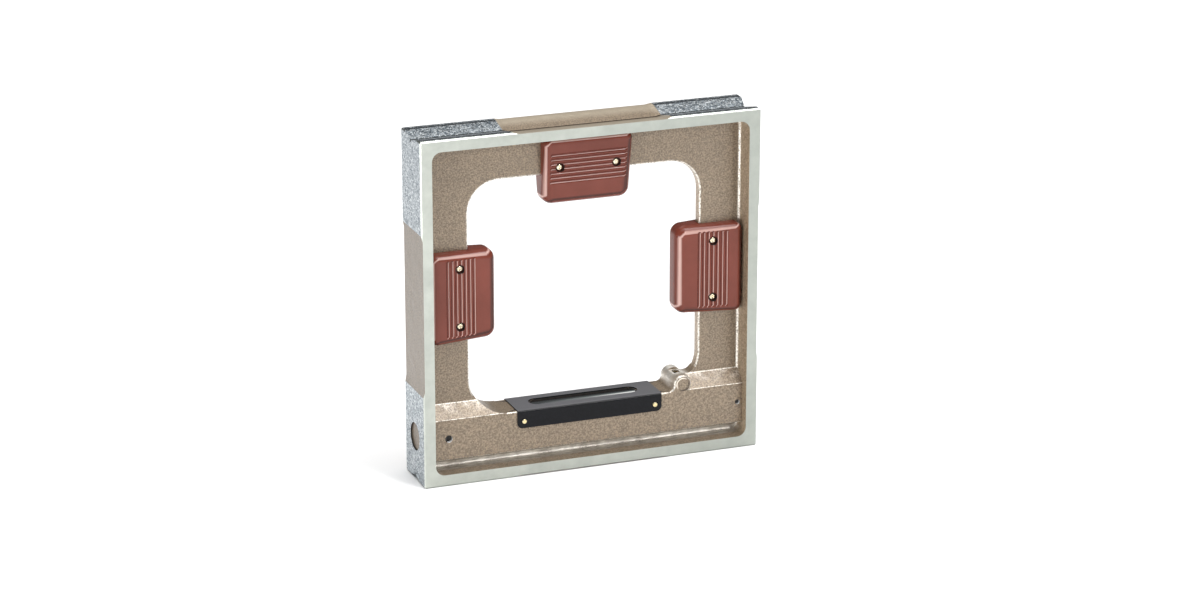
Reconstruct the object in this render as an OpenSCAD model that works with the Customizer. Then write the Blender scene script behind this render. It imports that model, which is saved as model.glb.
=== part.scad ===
// Precision square frame level: a cast-iron frame with scraped measuring faces,
// a main vial in the lower beam, a cross vial in a boss beside it and three
// pairs of moulded heat-insulating grips. +Z is up, the origin is the middle of
// the base, the cover faces -Y. All sizes are in millimetres.

/* [Frame] */
// Side of the square frame
side = 300; // [260:5:400]
// Depth of the frame from front to back
frame_d = 50; // [44:1:70]
// Thickness of the rim round the pockets
rim_t = 10; // [8:0.5:14]
// Corner radius of the pockets inside the rim
pocket_r = 8; // [7:0.5:14]
// Cast fillet where the pockets meet the web
root_r = 3; // [1.5:0.5:3.5]
// Ground bevel on the outer edges
edge_c = 1; // [0.5:0.25:1.5]
// Radius of the four outer corners
corner_r = 2; // [1.5:0.5:4]

/* [Web and opening] */
// Thickness of the web
web_t = 10; // [8:0.5:14]
// Side face to the edge of the opening
web_side = 47; // [40:1:60]
// Top face to the edge of the opening
web_top = 44.5; // [38:0.5:60]
// Radius of the upper corners of the opening
open_r_top = 27; // [15:1:40]
// Radius of the lower corners of the opening
open_r_low = 29; // [20:1:32]
// Cast rounding on the edge of the opening
lip_r = 2.5; // [1:0.5:3]

/* [Vial beam] */
// Height of the groove between the rim and the beam
groove_h = 9.5; // [8:0.5:14]
// Height of the beam
beam_h = 35.5; // [33:0.5:44]
// Depth of the beam from front to back
beam_d = 33; // [30:0.5:40]
// Rounding on the long edges of the beam
beam_edge_r = 1.5; // [1:0.25:2.5]
// Fillet between the beam and the side rims
beam_root_r = 2; // [1:0.25:2.5]
// Slope of the shoulders beside the opening, in degrees
shoulder_a = 45; // [40:1:50]
// Diameter of the long bore
bore_d = 24; // [22:0.5:26]
// Top of the beam to the axis of the long bore
bore_drop = 16.5; // [16:0.25:18]

/* [Measuring faces] */
// Width of the vee grooves
vee_w = 37; // [30:1:40]
// Included angle of the vee grooves, in degrees
vee_a = 153; // [150:1:160]
// Width of the relief slot in the bottom of the vee
relief_w = 2; // [1:0.5:3]
// Depth of the relief slot below the vee
relief_d = 1.5; // [0.5:0.25:2]
// Length of the scraped pads at the ends of each face
pad_l = 80; // [60:5:100]
// Drop from the pads to the painted middle of each face
pad_step = 1.2; // [0.6:0.2:2]
// Length of the ramp between pad and painted middle
pad_ramp = 5; // [2:1:8]

/* [Bore plugs] */
// Thickness of the plugs
plug_t = 4; // [3:0.5:5]
// Depth of the left plug below its face
plug_sink_left = 1.4; // [0.5:0.1:2]
// Depth of the right plug below its face, clear of the vee
plug_sink_right = 7; // [6.5:0.5:9]

/* [Cross vial boss] */
// Right face to the axis of the cross vial
cross_in = 65; // [60:1:70]
// Height of the cross vial's axis above the beam
cross_rise = 5.4; // [4.5:0.1:7]
// Diameter of the boss
cross_d = 16.4; // [15.5:0.2:18]
// Rounding at both ends of the boss
cross_edge_r = 2.4; // [1:0.2:2.4]
// Fillet between the boss and the beam
cross_fillet_r = 5; // [3:0.5:6]
// Fillet between the boss and the edge of the opening
crotch_r = 8; // [5:0.5:10]
// Diameter of the cross bore
cross_bore_d = 11; // [10:0.25:11.25]
// Length of the flat on top of the boss
sight_l = 13; // [11:0.5:15]
// Depth of the flat below the top of the boss
sight_sink = 1.7; // [1:0.1:2]
// Width of the slot through which the cross vial is read
sight_w = 6; // [4:0.5:7]
// Margin of that slot to the one in the vial's tube
sight_step = 0.5; // [0.25:0.25:1]

/* [Vial cover] */
// End of the cover to the axis of the cross vial
cover_gap = 20; // [16:1:30]
// Sheet thickness of the cover
cover_t = 1; // [0.6:0.1:1.5]
// Height of the cover from its top to the flap edges
cover_h = 16; // [14:0.5:20]
// Outer radius of the two bends
cover_bend_r = 2.2; // [1.6:0.1:2.4]
// Radius of the lower corners of the flaps
flap_r = 4.5; // [2:0.5:6]
// Ends of the cover to the ends of the sight window
window_in = 16; // [12:1:25]
// Width of the sight window
window_w = 15; // [12:0.5:18]
// End of the cover to its screws
cover_screw_in = 6; // [5:0.5:8]
// Top of the cover to its screws
cover_screw_drop = 10; // [8:0.5:11]

/* [Lens] */
// Ends of the sight window to the ends of the sight glass
lens_in = 2; // [0:1:12]
// Width of the sight glass
lens_w = 14.4; // [12:0.2:15]
// Radius of its convex top
lens_r = 12; // [12:0.5:20]
// Depth of its seat below the top of the beam
lens_seat = 2.8; // [2:0.2:3.4]
// Width of the ledge that carries it
lens_ledge = 1.5; // [1:0.25:2.5]

/* [Main vial] */
// Outer diameter of the brass vial tube
tube_d = 20; // [18:0.25:21]
// Wall of the brass vial tube
tube_wall = 1.5; // [1:0.25:2]
// Ends of the brass vial tube to the axis of the adjusting screw
tube_gap = 7.6; // [5:0.2:25]
// Outer diameter of the glass vial
vial_d = 16; // [14:0.25:16.5]
// Wall of the glass vial
vial_wall = 1.4; // [1:0.1:2]
// Length of the glass vial
vial_l = 116; // [100:2:140]
// Length of the bubble
bubble_l = 30; // [20:1:45]
// Width of the bubble
bubble_w = 6; // [4:0.5:7]
// Length of each bedding ring
bed_l = 8; // [5:1:12]

/* [Vial adjustment] */
// Left face to the adjusting screw
adjust_in = 24.4; // [23:0.1:26]
// Right plug to the axis of the pivot pin
pivot_gap = 3.7; // [3.5:0.1:6]
// Diameter of the hole for the adjusting screw
adjust_hole_d = 6.5; // [6:0.25:8]
// Diameter of the hole for the pivot pin
pivot_hole_d = 4.4; // [4:0.2:5]
// Diameter of the pivot pin and of the adjusting screw's shank
pin_d = 4; // [3:0.25:4]
// Throw of the adjusting screw's eccentric shank
adjust_throw = 0.5; // [0.3:0.1:0.6]
// Length of the pins' seats in the rear wall of the beam
pin_seat_l = 2.5; // [1.5:0.25:3]
// Length of the adjusting screw's head
adjust_head_l = 1.5; // [1.25:0.25:4]
// Width and depth of the slot in its head
slot_w = 1; // [0.6:0.1:1]
// Length of the end pieces' spigots in the vial tube
end_spigot = 12; // [6:1:30]

/* [Cross vial] */
// Wall of the cross vial's brass tube
cross_tube_wall = 0.8; // [0.6:0.1:1]
// Outer diameter of the cross vial
cross_vial_d = 8.5; // [7.5:0.1:8.8]
// Wall of the cross vial
cross_vial_wall = 1; // [0.7:0.1:1.4]
// Length of the cross vial
cross_vial_l = 24; // [20:1:26]
// Length of its bubble
cross_bubble_l = 7; // [5:0.5:9]
// Width of its bubble
cross_bubble_w = 3.5; // [2.5:0.25:4]
// Length of its bedding rings
cross_bed_l = 2.5; // [1.5:0.5:3]
// Thickness of the caps of the cross bore
cross_cap_t = 2.5; // [2:0.25:3]
// Depth of the caps below the ends of the boss
cross_cap_sink = 0.3; // [0:0.1:0.6]

/* [Grips] */
// Length of a grip along the rim
grip_l = 78; // [70:1:100]
// Outer face to the inner edge of a grip
grip_reach = 69.5; // [64:0.5:80]
// Gap between a grip and the rim
grip_gap = 1; // [0.5:0.25:2]
// Height of the side grips above the middle of the frame
grip_rise = 9.7; // [0:0.1:14]
// Half thickness of a grip beside the rim
grip_t_rim = 16.5; // [14:0.5:19]
// Half thickness of a grip at its inner edge
grip_t_edge = 11.5; // [10.5:0.5:14]
// Corner radius of a grip at its inner edge
grip_corner_r = 9.5; // [6:0.5:12]
// Flat left between the corners and the roundings beside the rim
grip_flat = 1; // [0.5:0.25:3]
// Rounding of a grip's outer edge beside the rim
grip_rim_r = 5; // [2:0.5:7]
// Rounding of its outer edge at its inner end
grip_edge_r = 8; // [2:0.5:8.5]
// Number of finger grooves
rib_n = 7; // [3:2:9]
// Pitch of the finger grooves
rib_pitch = 4; // [3.2:0.2:4.4]
// Depth of the finger grooves
rib_depth = 1.3; // [0.6:0.1:1.5]
// Radius of the finger grooves
rib_r = 1.6; // [1.3:0.1:2]
// Length of the finger grooves
rib_l = 68; // [50:1:70]
// Outer face to the middle of the finger grooves
rib_mid = 37.5; // [34:0.5:42]
// Outer face to the grip screws
screw_in = 37; // [34:0.5:40]
// Distance between the two screws of a grip
screw_pitch = 50; // [40:1:56]
// Diameter of the counterbores
screw_bore_d = 8; // [7:0.25:9]
// Mid-plane of the frame to the counterbore floor
screw_floor = 10; // [9:0.25:11]

/* [Screws] */
// Thread diameter of the grip screws
grip_screw_d = 3; // [2.5:0.5:4]
// Head diameter of the grip screws
grip_head_d = 5.8; // [5:0.2:6.4]
// Head height of the grip screws
grip_head_h = 2; // [1.6:0.1:2.4]
// Thread diameter of the cover screws
cover_screw_d = 2; // [1.6:0.2:2.5]
// Head diameter of the cover screws
cover_head_d = 4; // [3.4:0.1:4.6]
// Head height of the cover screws
cover_head_h = 1; // [0.8:0.1:1.4]
// Length of thread of the cover screws in the beam
cover_screw_l = 4; // [3:0.5:4.5]

/* [Fits] */
// Gap round turned parts
slip = 0.05; // [0.02:0.01:0.1]
// Gap round moulded and sheet parts
loose = 0.3; // [0.1:0.05:0.4]

/* [Hidden] */
$fn = 64;
fine_fn = 128;        // faces of the large corner arcs
grip_fn = 48;         // faces of the corners of a grip
past = 1;             // how far a cut runs past the face it opens
arc_steps = 8;        // straight pieces in a rounded corner of an outline
head_round = 0.6;     // share of a screw head's height that is rounded
recess_arm = 6;       // screw head diameters to the width of its cross recess
beam_z = rim_t + groove_h;
beam_top = beam_z + beam_h;
bore_z = beam_top - bore_drop;
beam_y = beam_d / 2;
web_y = web_t / 2;
pocket_w = side - 2 * rim_t;
open_x = side / 2 - web_side;
open_top = side - web_top;
low_x = open_x - open_r_low;
low_z = beam_top + open_r_low;
shoulder_h = (beam_y - web_y) * tan(shoulder_a);
vee_depth = vee_w / 2 / tan(vee_a / 2);
cross_x = side / 2 - cross_in;
cross_z = beam_top + cross_rise;
cross_r = cross_d / 2;
cover_l = 2 * (cross_x - cover_gap);
window_l = cover_l - 2 * window_in;
lens_l = window_l - 2 * lens_in;
cover_top = beam_top + cover_t;
cover_y = beam_y + cover_t;
cover_screw_x = cover_l / 2 - cover_screw_in;
cover_screw_z = cover_top - cover_screw_drop;
cross_tube_d = cross_bore_d - 2 * slip;
cross_tube_bore = cross_tube_d - 2 * cross_tube_wall;
cross_tube_l = beam_d - 2 * (cross_cap_t + cross_cap_sink + slip);
tube_bore = tube_d - 2 * tube_wall;
adjust_x = adjust_in - side / 2;
tube_l = -2 * (adjust_x + tube_gap);
pivot_x = side / 2 - plug_sink_right - plug_t - pivot_gap;
pin_seat = bore_d / 2 + pin_seat_l;
collar_wall = pivot_gap - loose;
grip_near = rim_t + grip_gap;
grip_near_r = grip_rim_r + grip_flat;
grip_far = grip_reach - grip_corner_r;
side_grip_z = side / 2 + grip_rise;
grip_places = [0, 1, 2];    // left, right and top rim

// ---- outlines ----

function unit(v) = v / norm(v);

// Points of the arc of radius r that rounds the corner b between a and c
function corner_arc(a, b, c, r) =
    let (u = unit(a - b), v = unit(c - b), half = acos(u * v) / 2,
        centre = b + unit(u + v) * r / sin(half), arm = b + u * r / tan(half) - centre,
        turn = sign(cross(b - a, c - b)) * (180 - 2 * half))
    [for (i = [0:arc_steps]) let (t = turn * i / arc_steps)
        centre + [arm.x * cos(t) - arm.y * sin(t), arm.x * sin(t) + arm.y * cos(t)]];

// Closed outline through [x, y, radius] corners
function rounded(path) =
    let (n = len(path), xy = [for (p = path) [p.x, p.y]])
    [for (i = [0:n - 1]) each path[i].z == 0 ? [xy[i]] :
        corner_arc(xy[(i + n - 1) % n], xy[i], xy[(i + 1) % n], path[i].z)];

// Rectangle with four round corners, centred
module round_rect(w, h, r) {
    square([w - 2 * r, h], center = true);
    square([w, h - 2 * r], center = true);
    for (x = [-1, 1], y = [-1, 1]) translate([x * (w / 2 - r), y * (h / 2 - r)]) circle(r);
}

// Slot with round ends along x, centred
module obround(l, w) {
    square([l - w, w], center = true);
    for (x = [-1, 1]) translate([x * (l - w) / 2, 0]) circle(w / 2);
}

// Rectangle with its corners cut off at 45 degrees, centred
module bevelled(w, h, c) {
    polygon([for (s = [[1, 1], [-1, 1], [-1, -1], [1, -1]])
        each s.x * s.y > 0
            ? [[s.x * w / 2, s.y * (h / 2 - c)], [s.x * (w / 2 - c), s.y * h / 2]]
            : [[s.x * (w / 2 - c), s.y * h / 2], [s.x * w / 2, s.y * (h / 2 - c)]]]);
}

// ---- placing ----

// Extrudes an outline drawn in x, z from front to back
module along_y(l) rotate([90, 0, 0]) linear_extrude(l, center = true) children();

// Extrudes an outline drawn in y, z from left to right
module along_x(l) rotate([90, 0, 90]) linear_extrude(l, center = true) children();

// Round bars along x and along y, centred
module rod_x(d, l) rotate([0, 90, 0]) cylinder(d = d, h = l, center = true);

module rod_y(d, l) rotate([90, 0, 0]) cylinder(d = d, h = l, center = true);

// Draws the front copy and its mirror image at the back
module both_sides() for (m = [0, 1]) mirror([0, m, 0]) children();

// ---- frame ----

// Square block with ground bevels
module frame_block() {
    translate([0, 0, side / 2]) intersection() {
        along_y(frame_d) round_rect(side, side, corner_r);
        along_x(side) bevelled(frame_d, side, edge_c);
        linear_extrude(side, center = true) bevelled(side, frame_d, edge_c);
    }
}

// Recess as wide as the rim allows, cut from the front face, with a fillet r at its floor
module basin(depth, r) {
    run = pocket_w - 2 * pocket_r;
    translate([0, -frame_d / 2, side / 2]) rotate([-90, 0, 0]) {
        translate([0, 0, -past]) linear_extrude(depth - r + past) round_rect(pocket_w, pocket_w, pocket_r);
        translate([0, 0, -past]) linear_extrude(depth + past)
            round_rect(pocket_w - 2 * r, pocket_w - 2 * r, pocket_r - r);
        translate([0, 0, depth - r]) for (a = [0:90:270]) rotate(a) {
            translate([pocket_w / 2 - r, 0, 0]) rotate([90, 0, 0]) cylinder(r = r, h = run, center = true);
            translate([run / 2, run / 2, 0]) rotate_extrude(angle = 90) translate([pocket_r - r, 0]) circle(r);
        }
    }
}

// Section of the beam with its sloping shoulders and its fillets to the web
module beam_section() {
    half = [[web_y, rim_t - past, 0], [web_y, beam_z, root_r], [beam_y, beam_z, beam_edge_r],
        [beam_y, beam_top, beam_edge_r], [web_y, beam_top + shoulder_h, root_r],
        [web_y, beam_top + shoulder_h + 2 * root_r, 0]];
    polygon(rounded(concat(half, [for (i = [len(half) - 1:-1:0]) [-half[i].x, half[i].y, half[i].z]])));
}

// What is cast away on one side of the web
module front_cavity() {
    basin((frame_d - beam_d) / 2, beam_root_r);
    difference() {
        basin((frame_d - web_t) / 2, root_r);
        along_x(side) beam_section();
    }
}

// Waste outside a rounded edge: u runs into the metal, h up from its face
module lip_waste(r) {
    difference() {
        translate([-past, -r]) square(r + past);
        translate([r, -r]) circle(r);
    }
}

// Rounds a straight edge that runs along y
module edge_waste(l, r) rotate([90, 0, 0]) linear_extrude(l, center = true) lip_waste(r);

// Rounds the edge of a corner of radius corner
module corner_waste(corner, turn, r) {
    rotate_extrude(angle = turn, $fn = fine_fn) translate([corner, 0]) lip_waste(r);
}

// The through-opening and its rounded edges
module opening() {
    top_x = open_x - open_r_top;
    top_z = open_top - open_r_top;
    run = top_z - low_z;
    along_y(frame_d) {
        translate([-low_x, beam_top]) square([2 * low_x, open_top - beam_top]);
        translate([-open_x, low_z]) square([2 * open_x, run]);
        translate([-top_x, low_z]) square([2 * top_x, open_top - low_z]);
        for (s = [-1, 1]) {
            translate([s * low_x, low_z]) circle(open_r_low, $fn = fine_fn);
            translate([s * top_x, top_z]) circle(open_r_top, $fn = fine_fn);
        }
    }
    both_sides() translate([0, -web_y, 0]) rotate([90, 0, 0]) {
        for (m = [0, 1]) mirror([m, 0, 0]) {
            translate([open_x, low_z + run / 2, 0]) edge_waste(run, lip_r);
            translate([top_x, top_z, 0]) corner_waste(open_r_top, 90, lip_r);
            // the lower corner is rounded above the shoulder only
            translate([low_x, low_z, 0]) intersection() {
                rotate(-90) corner_waste(open_r_low, 90, lip_r);
                translate([0, shoulder_h + root_r - open_r_low, -2 * lip_r])
                    cube([2 * open_r_low, open_r_low, 4 * lip_r]);
            }
        }
        translate([0, open_top, 0]) rotate(90) edge_waste(2 * top_x, lip_r);
    }
    both_sides() translate([0, -beam_y, beam_top]) rotate([90, 0, 0])
        rotate(-90) edge_waste(2 * low_x, beam_edge_r);
}

// Boss of the cross vial, with a fillet down to the top of the beam
module cross_boss() {
    reach = cross_r + cross_fillet_r;
    lift = cross_rise - cross_fillet_r;
    wedge = reach - cross_edge_r;
    translate([cross_x, 0, cross_z]) rotate([90, 0, 0]) rotate_extrude()
        polygon(rounded([[0, -beam_y, 0], [cross_r, -beam_y, cross_edge_r],
            [cross_r, beam_y, cross_edge_r], [0, beam_y, 0]]));
    translate([cross_x - sqrt(reach * reach - lift * lift), 0, beam_top + cross_fillet_r])
        rotate([90, 0, 0]) rotate(-90) rotate_extrude(angle = 90 + asin(lift / reach))
            polygon(rounded([[cross_fillet_r, -beam_y, cross_edge_r], [wedge, -beam_y, 0],
                [wedge, beam_y, 0], [cross_fillet_r, beam_y, cross_edge_r]]));
}

// Fillet between the boss and the lower corner of the opening, as thick as the
// beam and web behind it; its centre is found from the two circles it touches
module boss_crotch() {
    boss = [cross_x, cross_z];
    corner = [low_x, low_z];
    to_boss = cross_r + crotch_r;
    to_corner = open_r_low - crotch_r;
    apart = norm(corner - boss);
    along = (to_boss * to_boss - to_corner * to_corner + apart * apart) / (2 * apart);
    dir = unit(corner - boss);
    centre = boss + along * dir + sqrt(to_boss * to_boss - along * along) * [dir.y, -dir.x];
    inside = corner + (open_r_low + lip_r) * unit(centre - corner);
    intersection() {
        along_y(beam_d) difference() {
            polygon([boss, centre, inside, [inside.x, boss.y]]);
            translate(centre) circle(crotch_r, $fn = fine_fn);
        }
        along_x(side) beam_section();
    }
}

// Vee groove with its relief slot, cut into a face at z = 0, its length along x
module vee_cut() {
    run = side - 2 * pad_l;
    rise = past * tan(vee_a / 2);
    along_x(side + 2 * past) {
        polygon([[-vee_w / 2 - rise, past], [0, -vee_depth], [vee_w / 2 + rise, past]]);
        translate([-relief_w / 2, -vee_depth - relief_d]) square([relief_w, vee_depth + relief_d]);
    }
    // the painted middle follows the vee, one step lower
    wide = rise + pad_step * tan(vee_a / 2);
    hull() {
        along_x(run) polygon([[-vee_w / 2 - rise, past], [0, -vee_depth], [vee_w / 2 + rise, past]]);
        along_x(run - 2 * pad_ramp)
            polygon([[-vee_w / 2 - wide, past], [0, -vee_depth - pad_step], [vee_w / 2 + wide, past]]);
    }
}

// Painted middle of a face at z = 0, between its two pads
module pad_gap_cut() {
    far = side / 2 - pad_l;
    along_y(frame_d + 2 * past) polygon([[-far, past], [-far, 0], [pad_ramp - far, -pad_step],
        [far - pad_ramp, -pad_step], [far, 0], [far, past]]);
}

// The four outer faces: vees at the bottom, top and right, a flat at the left
module measuring_faces() {
    for (turn = [0, 90, 180]) translate([0, 0, side / 2]) rotate([0, turn, 0])
        translate([0, 0, side / 2]) vee_cut();
    for (turn = [0:90:270]) translate([0, 0, side / 2]) rotate([0, turn, 0])
        translate([0, 0, side / 2]) pad_gap_cut();
}

// Everything that is bored, milled or tapped in the beam
module beam_machining() {
    translate([0, 0, bore_z]) rod_x(bore_d, side + 2 * past);
    // seat of the sight glass and the slot under it
    translate([0, 0, beam_top - lens_seat]) linear_extrude(lens_seat + past)
        obround(lens_l + 2 * loose, lens_w + 2 * loose);
    translate([0, 0, bore_z]) linear_extrude(bore_drop)
        obround(lens_l - 2 * lens_ledge, lens_w - 2 * lens_ledge);
    // access holes at the front, blind seats for the pins at the back
    for (hole = [[adjust_x, adjust_hole_d], [pivot_x, pivot_hole_d]]) translate([hole[0], 0, bore_z]) {
        translate([0, -beam_y / 2 - past, 0]) rod_y(hole[1], beam_y);
        translate([0, pin_seat / 2, 0]) rod_y(pin_d + 2 * slip, pin_seat);
    }
    for (x = [-1, 1]) both_sides() translate([x * cover_screw_x, -beam_y, cover_screw_z])
        rod_y(cover_screw_d + 2 * slip, 2 * (cover_screw_l + slip));
    // cross bore, the flat on the boss and the slot in it
    translate([cross_x, 0, cross_z]) {
        rod_y(cross_bore_d, beam_d + 2 * past);
        translate([0, 0, cross_r - sight_sink]) linear_extrude(cross_r)
            square([cross_d, sight_l], center = true);
        linear_extrude(cross_r) rotate(90) obround(sight_l - 2 * lens_ledge, sight_w);
    }
}

// Stands a shape on a rim: its x runs in from the outer face, y along the rim, z to the front
module place_grip(p) {
    if (p == 2) translate([0, 0, side]) rotate([0, 90, 0]) rotate([90, 0, 0]) children();
    else mirror([p, 0, 0]) translate([-side / 2, 0, side_grip_z]) rotate([90, 0, 0]) children();
}

// Tapped holes for the grip screws, through the web
module grip_screw_holes() {
    for (p = grip_places, v = [-1, 1]) place_grip(p)
        translate([screw_in, v * screw_pitch / 2, 0])
            cylinder(d = grip_screw_d + 2 * slip, h = web_t + 2 * past, center = true);
}

// The whole casting: square, pockets, opening and boss, then the machining
module frame() {
    color([0.60, 0.53, 0.44]) difference() {
        union() {
            difference() {
                frame_block();
                both_sides() front_cavity();
                opening();
            }
            cross_boss();
            boss_crotch();
        }
        measuring_faces();
        beam_machining();
        grip_screw_holes();
    }
}

// Round plugs pressed into the ends of the long bore
module bore_plug(sink) {
    color([0.58, 0.52, 0.43]) translate([side / 2 - sink - plug_t / 2, 0, bore_z])
        rod_x(bore_d - 2 * slip, plug_t);
}

module bore_plug_left() mirror([1, 0, 0]) bore_plug(plug_sink_left);

module bore_plug_right() bore_plug(plug_sink_right);

// ---- main vial and its adjustment, on the axis of the long bore ----

// Brass tube that carries the vial, open on top under the sight glass
module vial_tube() {
    color("goldenrod") translate([0, 0, bore_z]) difference() {
        rod_x(tube_d, tube_l);
        rod_x(tube_bore, tube_l + 2 * past);
        linear_extrude(tube_d) obround(lens_l - 2 * bed_l, lens_w - 2 * lens_ledge);
    }
}

// Ground glass vial with domed ends, closed all round
module main_vial() {
    color([0.8, 0.9, 0.9]) translate([0, 0, bore_z]) difference() {
        capsule_x(vial_d - 2 * slip, vial_l);
        capsule_x(vial_d - 2 * vial_wall, vial_l - 2 * vial_wall);
    }
}

// Round bar along x with ends domed to half a sphere
module capsule_x(d, l) {
    rod_x(d, l - d);
    for (s = [-1, 1]) translate([s * (l - d) / 2, 0, 0]) sphere(d = d);
}

// Filling of the vial, with the bubble at its highest point
module main_vial_liquid() {
    color([0.8, 0.9, 0.6]) translate([0, 0, bore_z]) difference() {
        capsule_x(vial_d - 2 * vial_wall - 2 * slip, vial_l - 2 * vial_wall - 2 * slip);
        translate([0, 0, vial_d / 2 - vial_wall]) capsule_x(bubble_w, bubble_l);
    }
}

// Two rings that bed the vial in its tube
module vial_bedding() {
    color("white") translate([0, 0, bore_z]) for (s = [-1, 1])
        translate([s * (vial_l / 2 - vial_d / 2 - bed_l / 2), 0, 0]) difference() {
            rod_x(tube_bore - 2 * slip, bed_l);
            rod_x(vial_d, bed_l + 2 * past);
        }
}

// End piece of the vial tube: spigot in the tube, collar in the bore, hole for its pin
module tube_end(hole_x, slot) {
    collar_l = hole_x + collar_wall - tube_l / 2;
    color("darkgoldenrod") translate([0, 0, bore_z]) difference() {
        union() {
            translate([(tube_l + collar_l) / 2, 0, 0]) rod_x(bore_d - 2 * loose, collar_l);
            translate([(tube_l - end_spigot) / 2, 0, 0]) rod_x(tube_bore - 2 * slip, end_spigot);
        }
        translate([hole_x, 0, 0]) {
            for (s = [-1, 1]) translate([s * slot / 2, 0, 0]) rod_y(pin_d + 2 * slip, bore_d);
            if (slot > 0) cube([slot, bore_d, pin_d + 2 * slip], center = true);
        }
    }
}

// The slot in the adjusting end leaves room for the eccentric's throw
module adjusting_end() mirror([1, 0, 0]) tube_end(-adjust_x, 2 * adjust_throw);

module pivot_end() tube_end(pivot_x, 0);

// Slotted screw whose eccentric shank lifts the end of the vial tube
module adjusting_screw() {
    front = -bore_d / 2 - slip;
    back = pin_seat - slip;
    color("silver") translate([adjust_x, 0, bore_z]) difference() {
        union() {
            translate([0, front - adjust_head_l / 2, 0]) rod_y(adjust_hole_d - 2 * slip, adjust_head_l);
            translate([adjust_throw, 0, 0]) rod_y(pin_d, -2 * front);
            translate([0, (front + back) / 2, 0]) rod_y(pin_d - 2 * adjust_throw - 2 * slip, back - front);
        }
        translate([0, front - adjust_head_l, 0]) cube([slot_w, 2 * slot_w, adjust_hole_d], center = true);
    }
}

// Plain pin on which the other end of the vial tube hinges
module pivot_pin() {
    front = -beam_y + (beam_y - bore_d / 2) / 2;
    back = pin_seat - slip;
    color("silver") translate([pivot_x, (front + back) / 2, bore_z]) rod_y(pin_d, back - front);
}

// ---- sight glass and cover ----

// Glass strip with a convex top, flush with the beam
module sight_glass() {
    color([0.75, 0.85, 0.85]) intersection() {
        translate([0, 0, beam_top - lens_seat]) linear_extrude(lens_seat + past) obround(lens_l, lens_w);
        translate([0, 0, beam_top - lens_r]) rod_x(2 * lens_r, lens_l + 2 * past);
    }
}

// Sheet bent over the beam, with a window and two flaps
module vial_cover() {
    flap_z = cover_top - cover_h;
    inner_r = cover_bend_r - cover_t;
    color([0.1, 0.1, 0.11]) difference() {
        intersection() {
            along_x(cover_l) translate([0, cover_top - cover_h]) difference() {
                round_rect(2 * cover_y, 2 * cover_h, cover_bend_r);
                translate([0, -cover_t]) round_rect(beam_d, 2 * cover_h, inner_r);
            }
            // flaps with round lower corners
            translate([0, 0, flap_z + cover_h]) along_y(beam_d + 4 * cover_t)
                round_rect(cover_l, 2 * cover_h, flap_r);
        }
        linear_extrude(cover_top + past) obround(window_l, window_w);
        for (x = [-1, 1]) translate([x * cover_screw_x, 0, cover_screw_z])
            rod_y(cover_screw_d + 2 * slip, beam_d + 4 * cover_t);
    }
}

// Round-headed screw standing on z = 0, with a cross recess
module pan_screw(d, head_d, head_h, l) {
    arm = head_d / recess_arm;
    difference() {
        union() {
            rotate_extrude() polygon(rounded([[0, 0, 0], [head_d / 2, 0, 0],
                [head_d / 2, head_h, head_round * head_h], [0, head_h, 0]]));
            translate([0, 0, -l]) cylinder(d = d, h = l + head_h / 4);
        }
        for (a = [0, 90]) translate([0, 0, head_h]) rotate(a) cube([4 * arm, arm, head_h], center = true);
    }
}

// Two screws in each flap of the cover
module cover_screws() {
    color([0.8, 0.7, 0.5]) both_sides() for (x = [-1, 1])
        translate([x * cover_screw_x, -cover_y, cover_screw_z]) rotate([90, 0, 0])
            pan_screw(cover_screw_d, cover_head_d, cover_head_h, cover_t + cover_screw_l);
}

// ---- cross vial ----

// Places what is drawn along x on the axis of the cross bore
module at_cross() translate([cross_x, 0, cross_z]) rotate(90) children();

// Brass tube in the boss, open on top under the slot
module cross_vial_tube() {
    color("goldenrod") at_cross() difference() {
        rod_x(cross_tube_d, cross_tube_l);
        rod_x(cross_tube_bore, cross_tube_l + 2 * past);
        linear_extrude(cross_tube_d) obround(sight_l - 2 * lens_ledge, sight_w - 2 * sight_step);
    }
}

// Small glass vial with domed ends
module cross_vial() {
    color([0.8, 0.9, 0.9]) at_cross() difference() {
        capsule_x(cross_vial_d - 2 * slip, cross_vial_l);
        capsule_x(cross_vial_d - 2 * cross_vial_wall, cross_vial_l - 2 * cross_vial_wall);
    }
}

// Its filling and bubble
module cross_vial_liquid() {
    inner_d = cross_vial_d - 2 * cross_vial_wall;
    color([0.8, 0.9, 0.6]) at_cross() difference() {
        capsule_x(inner_d - 2 * slip, cross_vial_l - 2 * cross_vial_wall - 2 * slip);
        translate([0, 0, inner_d / 2]) capsule_x(cross_bubble_w, cross_bubble_l);
    }
}

// Two rings that bed it in its tube
module cross_vial_bedding() {
    color("white") at_cross() for (s = [-1, 1])
        translate([s * (cross_vial_l - cross_vial_d - cross_bed_l) / 2, 0, 0]) difference() {
            rod_x(cross_tube_bore - 2 * slip, cross_bed_l);
            rod_x(cross_vial_d, cross_bed_l + 2 * past);
        }
}

// Painted disc that closes an end of the cross bore
module cross_cap_front() {
    color([0.58, 0.52, 0.43])
        translate([cross_x, cross_cap_sink + cross_cap_t / 2 - beam_y, cross_z]) rod_y(cross_tube_d, cross_cap_t);
}

module cross_cap_rear() mirror([0, 1, 0]) cross_cap_front();

// ---- grips ----

// One corner of a grip: round in plan, its outer edge rounded by edge
module grip_corner(x, y, r, t, edge) {
    translate([x, y, 0]) rotate_extrude($fn = grip_fn)
        polygon(rounded([[0, 0, 0], [r, 0, 0], [r, t, edge], [0, t, 0]]));
}

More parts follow.
